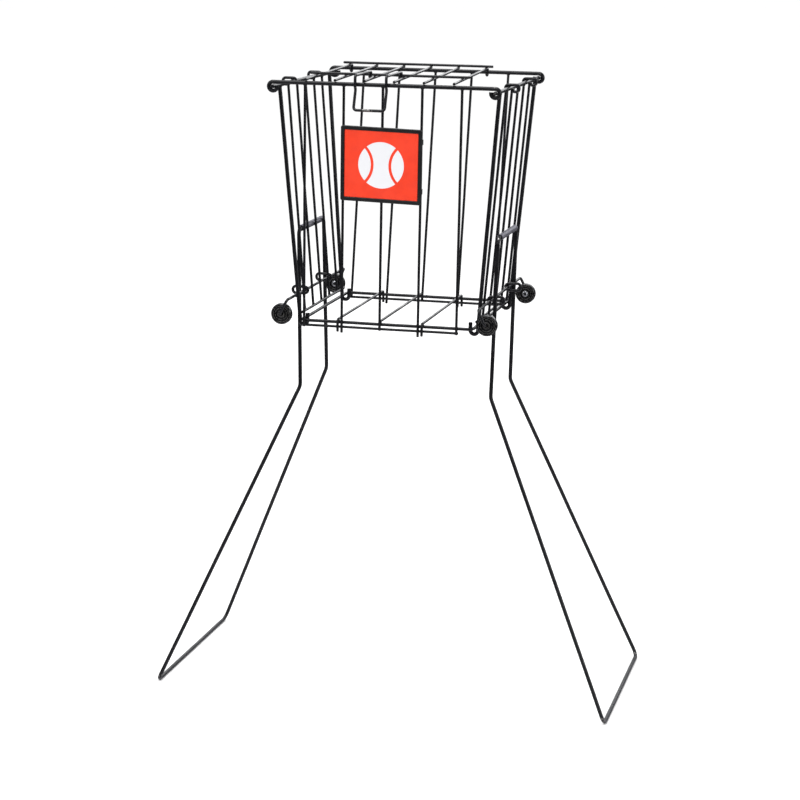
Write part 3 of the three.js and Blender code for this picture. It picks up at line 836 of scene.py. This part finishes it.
def makeLegCatch(name, side, face):
    bm = bmesh.new()
    z, drop = catchMake["height"], upward * catchMake["radius"]
    near = at(side * carrierSpread, face * besideLegAt(z), z)
    far = near + across * side * catchMake["reach"]
    inner = curl(near - drop, near, along, side * halfTurn)
    outer = curl(far + upward * catchMake["loopRadius"], far, along, side * halfTurn)
    end = near + across * side * seat - drop
    drawWire(bm, inner + outer + [end], wires["hook"], sway=0)
    weldNugget(bm, near + upward * wires["carrier"], along, across, catchMake["weld"])
    newPiece(name + "_wire", bm, "basket", "grid_wire", [name], [(far, catchMake["rubReach"])])


topHookMake = {
    "reach": 13.5, "drop": 9, "mouth": 8, "tail": 5, "tip": 4, "weld": (2.0, 2.4, 0.9), "rubReach": 8,
}


def makeTopHook(name, side, face):
    bm = bmesh.new()
    over, bend = heavy + seat + wires["hook"], 2 * wires["hook"]
    y, z = face * besideLegAt(2 * legPivot.z - sideRailZ), sideRailZ + over

    def away(reach, height):
        return at(side * (rimX + reach), y, height)

    reach, low = topHookMake["reach"], z - topHookMake["drop"]
    back = reach - topHookMake["mouth"]
    drawWire(bm, bentLine([
        away(-over, z - topHookMake["tail"]), (away(-over, z), bend), (away(reach, z), bend),
        (away(reach, low), bend), (away(back, low), wires["hook"]), away(back, low + topHookMake["tip"]),
    ]), wires["hook"], sway=0)
    weldNugget(bm, away(0, sideRailZ + heavy), along, across, topHookMake["weld"])
    spots = [(away(reach, low), topHookMake["rubReach"])]
    newPiece(name + "_wire", bm, "basket", "grid_wire", [name], spots)


# Wheels on their carriers

wheelMake = {
    "radius": 14.3, "width": 9, "round": 1.3, "grooveDepth": 1.8,
    "grooves": ((5.2, 7.3), (8.6, 10.2), (11.4, 12.4)),  # inner and outer radii
    # on the next line, after the sides: how much painted highlight the ridge tops get, and from where and
    # how much the tread gets real scuffs with a painted highlight
    "soft": 0.7, "sides": 96, "ridgeRub": 0.8, "treadFrom": 0.9, "treadScuffAndHighlight": 3,
}
carrierMake = {"bend": 6, "axleOver": 1.6, "weld": (2.6, 2.0, 1.0)}
nutMake = {
    "radius": 4, "sheet": 0.32, "dome": 0.9, "rimShare": 0.25, "curve": 1.3, "bite": 0.05,
    "slots": 6, "slotShare": 0.55, "rows": 8, "sides": 48, "height": 0.8,
}
wheelInside = axle.y - wheelMake["width"] / 2


def makeCarrier(name, side):
    bm = bmesh.new()
    x, height = side * axle.x, catchMake["height"]
    arm = axle.y + wheelMake["width"] / 2 + seat + carrierMake["bend"]
    end = wheelInside - 2 * seat - nutMake["height"] - carrierMake["axleOver"]

    def half(face):
        return [
            at(x, face * end, axle.z), (at(x, face * arm, axle.z), carrierMake["bend"]),
            (at(side * carrierSpread, face * arm, height), carrierMake["bend"]),
        ]

    drawWire(bm, bentLine(half(-1) + half(1)[::-1]), wires["carrier"])
    contact = side * (sideAt(height) + (heavy + seat / 2) / math.cos(sideLean))
    reach = between(sideMake["cornerFoot"], sideMake["cornerTop"], shareUp(height, sideRailZ))
    for place in pairAlong(contact, reach, height):  # fused to the heavy corner wires that it crosses
        weldNugget(bm, place, along, upward, carrierMake["weld"])
    newPiece(name + "_wire", bm, "basket", "grid_wire", [name])


def makeWheel(name, body):
    bm = bmesh.new()
    centre = hinge[body + "_spin"]
    bore, rim = wires["carrier"] + gaps["turn"], wheelMake["width"] / 2
    floor = rim - wheelMake["grooveDepth"]
    half = [(bore, rim)]
    for inner, outer in wheelMake["grooves"]:
        half += [(inner, rim), (inner, floor), (outer, floor), (outer, rim)]
    radius, eased = wheelMake["radius"], wheelMake["round"]
    half += [(radius - eased, rim), (radius, rim - eased)]
    corners = [(r, -h) for r, h in half] + half[::-1]
    latheRing(bm, filletedProfile(corners, wheelMake["soft"]), centre, wheelMake["sides"])
    piece = newPiece(name + "_disc", bm, body, "wheel", [name])
    for vert in piece.data.vertices:  # the tread gets real scuffs and a painted highlight, and the tops of the ridges get a painted highlight, paler than the grooves
        offset = vert.co / mm - centre
        reach = math.hypot(offset.x, offset.z) / radius
        rubAndHighlight = max(0.0, (reach - wheelMake["treadFrom"]) * wheelMake["treadScuffAndHighlight"])
        if abs(offset.y) > rim - wheelMake["soft"] / 2:
            rubAndHighlight = max(rubAndHighlight, wheelMake["ridgeRub"])
        piece.data.attributes["rubAndHighlight"].data[vert.index].value = rubAndHighlight


def makePushNut(name, side, face):
    bm = bmesh.new()
    bore, outer = wires["carrier"] + nutMake["bite"], nutMake["radius"]
    centre, rest = at(side * axle.x, 0, axle.z), wheelInside - seat / 2
    rows, sides = nutMake["rows"], nutMake["sides"]
    perTooth = sides // nutMake["slots"]

    def rise(share):  # a flat rim, then up over a low dome to the gripping edge
        climb = max(0, 1 - share / (1 - nutMake["rimShare"]))
        return nutMake["dome"] * math.sin(math.pi / 2 * climb) ** nutMake["curve"]

    skin = []
    for row in range(rows + 1):
        radius, y = between(bore, outer, row / rows), face * (rest - rise(row / rows))
        skin.append([bm.verts.new((centre + at(radius * math.cos(angle), y, radius * math.sin(angle))) * mm)
                     for angle in roundAngles(sides)])
    for row, (one, two) in enumerate(zip(skin, skin[1:])):
        for col in range(sides):
            if row < rows * nutMake["slotShare"] and col % perTooth == 0:
                continue  # the slot between two teeth
            after = (col + 1) % sides
            bm.faces.new((one[col], one[after], two[after], two[col]))
    loose = [vert for vert in bm.verts if not vert.link_faces]
    bmesh.ops.delete(bm, geom=loose, context="VERTS")
    bmesh.ops.recalc_face_normals(bm, faces=bm.faces)
    bmesh.ops.solidify(bm, geom=bm.faces[:], thickness=nutMake["sheet"] * mm)
    for facet in bm.faces:
        facet.smooth = True
    newPiece(name + "_clip", bm, "basket", "push_nut", [name])


for sideName, side in (("left", -1), ("right", 1)):
    makeCarrier(sideName + "_wheel_carrier", side)
    for faceName, face in (("front", -1), ("rear", 1)):
        makeLegCatch(f"{sideName}_leg_catch_{faceName}", side, face)
        makeTopHook(f"{sideName}_top_hook_{faceName}", side, face)
        makeWheel(f"{sideName}_wheel_{faceName}", f"wheel_{sideName}_{faceName}")
        makePushNut(f"{sideName}_push_nut_{faceName}", side, face)
print("hooks and wheels made")


# Lid and latch

lidMake = {
    "rods": 6, "pitch": 40, "offset": -25, "skew": 20.5, "over": 3.5, "short": 6, "barOver": 10,
    "rearInset": 9, "eyeSweep": 255, "weld": (2.2, 2.0, 1.0), "rubReach": 9,
}
lidRodZ = railZ + heavy + gaps["eye"] + grid
lidFront = -rimY - lidMake["over"]
lidHalf = (lidMake["rods"] - 1) * lidMake["pitch"] / 2


def lidMiddleAt(y):
    return lidMake["offset"] + lidMake["skew"] * ((rimY - y) / (rimY - lidFront))


def makeLid():
    bm = bmesh.new()
    bars, barZ = (rimY - lidMake["rearInset"], latchPivot.y), latchPivot.z
    for index in range(lidMake["rods"]):
        away = index * lidMake["pitch"] - lidHalf
        x = lidMake["offset"] + away
        rear, sway = [at(x, rimY - lidMake["short"], lidRodZ)], wireMake["sway"]
        if index in (0, lidMake["rods"] - 1):  # the outer rods turn on the rear rail
            rear = curl(at(x, rimY, lidRodZ), at(x, rimY, railZ), across, -lidMake["eyeSweep"])
            sway = 0
        drawWire(bm, [at(x + lidMake["skew"], lidFront, lidRodZ)] + rear, grid, sway=sway)
        for y in bars:
            contact = at(lidMiddleAt(y) + away, y, (lidRodZ + barZ) / 2)
            weldNugget(bm, contact, along, across, lidMake["weld"])
    for y in bars:
        ends = [lidMiddleAt(y) + side * (lidHalf + lidMake["barOver"]) for side in (-1, 1)]
        drawWire(bm, [at(x, y, barZ) for x in ends], grid)
    spots = [(at(lidMake["offset"] + side * lidHalf, rimY, railZ), lidMake["rubReach"]) for side in (-1, 1)]
    newPiece("lid_wires", bm, "lid", "grid_wire", ["lid_grid"], spots)


latchMake = {
    "offset": -5.5, "width": 42, "eyeSweep": 250, "standoff": 2.3, "kinkIn": 2.6, "kinkDrop": 18,
    "flare": 10.3, "drop": 44.5, "bend": 4.5, "rubReach": 24,
}


def makeLatch():
    bm = bmesh.new()
    hang = -rimY - heavy - wires["latch"] - latchMake["standoff"]
    top, bend = latchPivot.z + (grid + gaps["eye"] + wires["latch"]), latchMake["bend"]
    middle, low = lidMiddleAt(latchPivot.y) + latchMake["offset"], top - latchMake["drop"]

    def arm(x):
        eye = curl(at(x, latchPivot.y, top), at(x, latchPivot.y, latchPivot.z), across,
                   -latchMake["eyeSweep"])
        return eye[:0:-1] + [
            (at(x, hang, top), bend), (at(x, hang, railZ - heavy), bend),
            (at(x, hang + latchMake["kinkIn"], top - latchMake["kinkDrop"]), bend),
            (at(x, hang - latchMake["flare"] + latchMake["kinkIn"], low), bend),
        ]

    left, right = (arm(middle + side * latchMake["width"] / 2) for side in (-1, 1))
    drawWire(bm, bentLine(left + right[::-1]), wires["latch"])
    spots = [(at(middle, hang - latchMake["flare"], low), latchMake["rubReach"])]
    newPiece("latch_wire", bm, "latch", "grid_wire", ["latch_loop"], spots)


makeLid()
makeLatch()
print("lid made")


# Badge

badgeMake = {
    "over": 2.2, "height": 100.4, "bar": 5, "depth": 3.4, "plate": 1.4, "inset": 0.8, "ledge": 1.6,
    "corner": 2.5, "openingCorner": 1, "leastCorner": 0.2, "cornerSteps": 8, "drop": 105,
    "hookHeight": 7, "hookWall": 1.1, "hookMouth": 2.6, "hookLip": 2, "hookSpread": 66, "hookSteps": 16,
    "edgeRound": 0.6, "plateRound": 0.3, "edgeSteps": 4,
}
badgeWidth = 2 * (endMake["pitch"] + badgeMake["over"])
badgeZ = railZ - badgeMake["drop"]
badgePlace = Matrix.Translation(at(
    endShiftAt(badgeZ), -frontAt(badgeZ) - (grid + seat) / math.cos(frontLean), badgeZ,
)) @ Matrix.Rotation(math.pi / 2 + frontLean, 4, "X") @ Matrix.Rotation(-endLean, 4, "Z")


def roundedOutline(width, height, radius):
    points, steps = [], badgeMake["cornerSteps"]
    for quarter, (x, y) in enumerate(((1, 1), (-1, 1), (-1, -1), (1, -1))):
        for step in range(steps + 1):
            angle = math.pi / 2 * (quarter + step / steps)
            points.append(at(x * (width / 2 - radius) + radius * math.cos(angle),
                             y * (height / 2 - radius) + radius * math.sin(angle), 0))
    return points


def layOutlines(bm, outlines):  # a skin through outlines of equal count, each with its own height
    rings = [[bm.verts.new(badgePlace @ (point + upward * height) * mm) for point in outline]
             for outline, height in outlines]
    for one, two in zip(rings, rings[1:]):
        bridge(bm, one, two)
    return rings


def easedEdges(width, height, radius, low, high, soft):  # from the back up over a rounded front edge
    layers = [(roundedOutline(width, height, radius), low)]
    for angle in quarterAngles(badgeMake["edgeSteps"]):
        shrink = soft * (1 - math.cos(angle))
        corner = max(radius - shrink, badgeMake["leastCorner"])
        layers.append((roundedOutline(width - 2 * shrink, height - 2 * shrink, corner),
                       high - soft + soft * math.sin(angle)))
    return layers


def makeBadgeFrame():
    bm = bmesh.new()
    depth, bar, soft = badgeMake["depth"], badgeMake["bar"], badgeMake["edgeRound"]
    layers = easedEdges(badgeWidth, badgeMake["height"], badgeMake["corner"], 0, depth, soft)

    def opening(reach):
        return roundedOutline(badgeWidth - 2 * reach, badgeMake["height"] - 2 * reach,
                              badgeMake["openingCorner"])

    for angle in quarterAngles(badgeMake["edgeSteps"]):  # over the inner edge and down to the ledge
        layers.append((opening(bar - soft + soft * math.sin(angle)), depth - soft + soft * math.cos(angle)))
    ledge, ledgeZ = bar + badgeMake["ledge"], depth - badgeMake["inset"] - badgeMake["plate"] - seat
    layers += [(opening(bar), ledgeZ), (opening(ledge), ledgeZ), (opening(ledge), 0)]
    rings = layOutlines(bm, layers)
    bridge(bm, rings[-1], rings[0])
    for side in (-1, 1):
        for end in (-1, 1):
            addBadgeHook(bm, side, end * badgeMake["hookSpread"] / 2)
    newPiece("badge_frame_moulding", bm, "basket", "badge_frame", ["badge_frame"])


def addBadgeHook(bm, side, y):  # a C in section that grips an upright from inside
    bore, steps = grid + seat, badgeMake["hookSteps"]
    wall, half, mouth = badgeMake["hookWall"], badgeMake["hookHeight"] / 2, badgeMake["hookMouth"] / 2
    reach, low, gape = badgeMake["hookLip"], -(2 * bore + wall), math.asin(mouth / bore)
    arc = [(bore * math.cos(angle), bore * math.sin(angle) - bore)
           for angle in (math.pi + (math.pi - gape) * (1 - 2 * step / steps) for step in range(steps + 1))]
    outline = [(reach, gaps["weld"]), (-bore - wall, gaps["weld"]), (-bore - wall, low), (reach, low),
               (reach, -bore - mouth)] + arc + [(reach, -bore + mouth)]
    ends = [[bm.verts.new(badgePlace @ at(side * (endMake["pitch"] + x), height, z) * mm)
             for x, z in outline] for height in (y - half, y + half)]
    bm.faces.new(ends[0])
    bm.faces.new(ends[1][::-1])
    bridge(bm, *ends, smooth=False)


def makeBadgePlate():
    bm = bmesh.new()
    trim, top = 2 * (badgeMake["bar"] + seat), badgeMake["depth"] - badgeMake["inset"]
    layers = easedEdges(badgeWidth - trim, badgeMake["height"] - trim, badgeMake["openingCorner"],
                        top - badgeMake["plate"], top, badgeMake["plateRound"])
    rings = layOutlines(bm, layers)
    bm.faces.new(rings[0][::-1])
    bm.faces.new(rings[-1])
    uv = bm.loops.layers.uv.new("plate")
    flat = badgePlace.inverted()
    for face in bm.faces:
        printed = (flat @ (face.calc_center_median() / mm)).z > top - badgeMake["plateRound"]
        for loop in face.loops:
            local = flat @ (loop.vert.co / mm)
            loop[uv].uv = (local.x, local.y) if printed else (badgePrint["unprinted"], 0)
    newPiece("badge_plate_print", bm, "basket", "badge_plate", ["badge_plate"])


makeBadgeFrame()
makeBadgePlate()
print("badge made")


# Stage and light

stageMake = {
    "half": 60, "seen": (0.88, 0.88, 0.88, 1), "roughness": 0.8, "specular": 0.1,
    "mirroredNear": (0.28, 0.28, 0.3, 1), "mirroredFar": (0.04, 0.04, 0.042, 1), "lit": (0.9, 1.8),
}
lightMake = {
    "backdrop": (1.0, 1.0, 1.0, 1), "backdropStrength": 1.2,
    "room": (0.84, 0.89, 1.0, 1), "roomStrength": 0.22,
    "soft": [  # name, place in metres, width, height, watts
        ("overhead", (-0.3, -0.5, 3.3), 2.2, 2.2, 60),
        ("keyLeft", (-2.7, -2.3, 2.1), 1.1, 1.1, 14),
        ("fillRight", (2.9, -1.4, 1.4), 0.9, 0.9, 10),
        ("front", (-0.7, -3.2, 2.5), 1.5, 0.45, 6),
        ("behind", (0.1, 3.3, 1.75), 4.0, 1.3, 25),
        ("stripRight", (2.4, 0.9, 0.7), 0.5, 2.2, 14),
    ],
    "aim": (0, 0, 0.6),
}


def makeStage():
    bm = bmesh.new()
    bmesh.ops.create_grid(bm, x_segments=1, y_segments=1, size=stageMake["half"])
    mesh = bpy.data.meshes.new("floor")
    bm.to_mesh(mesh)
    bm.free()
    material, tree, shader = newMaterial("floorPaper", stageMake)
    # what the wires mirror of the floor is a painted pool of light: bright near the basket, fading to dim
    # far away, and dimmer than the floor looks
    away = addNode(tree, "ShaderNodeVectorMath", {"operation": "LENGTH"}, in0=placeOn(tree))
    far = mapNode(tree, away.outputs["Value"], *stageMake["lit"])
    mirrored = mixColor(tree, far, stageMake["mirroredNear"], stageMake["mirroredFar"])
    glossy = addNode(tree, "ShaderNodeLightPath").outputs["Is Glossy Ray"]
    plug(tree, shader, Base_Color=mixColor(tree, glossy, stageMake["seen"], mirrored))
    mesh.materials.append(material)
    floor = bpy.data.objects.new("floor", mesh)
    bpy.context.scene.collection.objects.link(floor)


def makeRoom():  # a white room, which stands dimmer in what the wires mirror
    world = bpy.data.worlds.new("studio")
    world.use_nodes = True
    tree = world.node_tree
    room = tree.nodes["Background"]
    room.inputs["Color"].default_value = lightMake["room"]
    room.inputs["Strength"].default_value = lightMake["roomStrength"]
    backdrop = addNode(tree, "ShaderNodeBackground", None, Color=lightMake["backdrop"],
                       Strength=lightMake["backdropStrength"])
    mirrored = addNode(tree, "ShaderNodeLightPath").outputs["Is Glossy Ray"]
    mix = addNode(tree, "ShaderNodeMixShader", None, in0=mirrored, in1=backdrop.outputs[0],
                  in2=room.outputs[0])
    plug(tree, tree.nodes["World Output"], Surface=mix.outputs[0])
    bpy.context.scene.world = world


def makeLights():
    for name, place, width, height, watts in lightMake["soft"]:
        data = bpy.data.lights.new(name, "AREA")
        data.shape, data.energy = "RECTANGLE", watts
        data.size, data.size_y = width, height
        lamp = bpy.data.objects.new(name, data)
        lamp.location = place
        lamp.visible_camera = False
        lamp.rotation_mode = "QUATERNION"
        lamp.rotation_quaternion = (Vector(lightMake["aim"]) - Vector(place)).to_track_quat("-Z", "Y")
        bpy.context.scene.collection.objects.link(lamp)
    bpy.context.scene.view_settings.view_transform = "Standard"


makeStage()
makeRoom()
makeLights()
print("stage and lights set")
